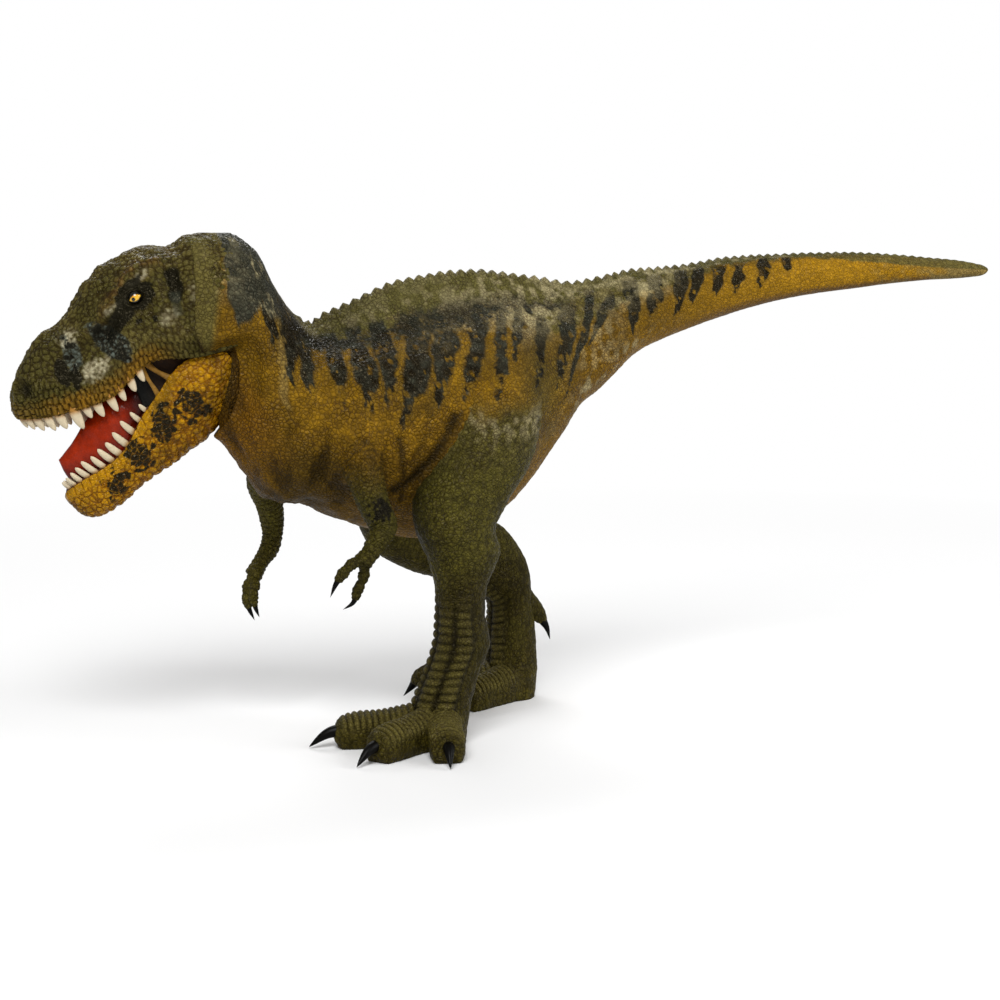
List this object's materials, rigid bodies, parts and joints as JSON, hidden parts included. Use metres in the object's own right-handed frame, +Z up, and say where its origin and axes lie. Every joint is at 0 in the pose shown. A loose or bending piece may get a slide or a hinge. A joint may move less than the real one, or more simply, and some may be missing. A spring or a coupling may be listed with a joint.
{
  "type": "toy dinosaur figure",
  "caption": "Two-legged meat-eating dinosaur toy in mid stride, moulded in plastic pieces, with a lower jaw on a hinge pin, rows of separate teeth and a raised tongue.",
  "frame": {"origin": "middle of the base of the bounding box, on the ground under the figure", "axes": "-X is ahead of the figure and +X runs along its tail, -Y is its left side, +Z is up"},
  "size_m": [0.3152, 0.0972, 0.1475],
  "materials": {
    "hide": "painted vinyl hide, ochre flanks under dark stripes and an olive back",
    "tail_hide": "painted vinyl hide, orange-brown sides and an olive top",
    "skull_hide": "painted vinyl hide, grey-olive",
    "jaw_hide": "painted vinyl hide, ochre yellow",
    "limb_hide": "painted vinyl hide, dark olive brown",
    "tooth_ivory": "satin ivory",
    "tongue_red": "wet gloss red",
    "pin_steel": "plain"
  },
  "bodies": {
    "figure": {"torso": "hide", "tail": "tail_hide", "skull": "skull_hide", "upper_teeth": "tooth_ivory", "jaw_pin": "pin_steel", "left_leg": "limb_hide", "right_leg": "limb_hide", "left_arm": "limb_hide", "right_arm": "limb_hide"},
    "jaw": {"lower_jaw": "jaw_hide", "lower_teeth": "tooth_ivory", "tongue": "tongue_red"}
  },
  "joints": [
    {"name": "jaw_hinge", "type": "hinge", "parent": "figure", "child": "jaw", "pos_m": [-0.10346, 0.01064, 0.10984], "axis": [0.3746, 0.9272, 0], "range_deg": [0, 15]}
  ]
}
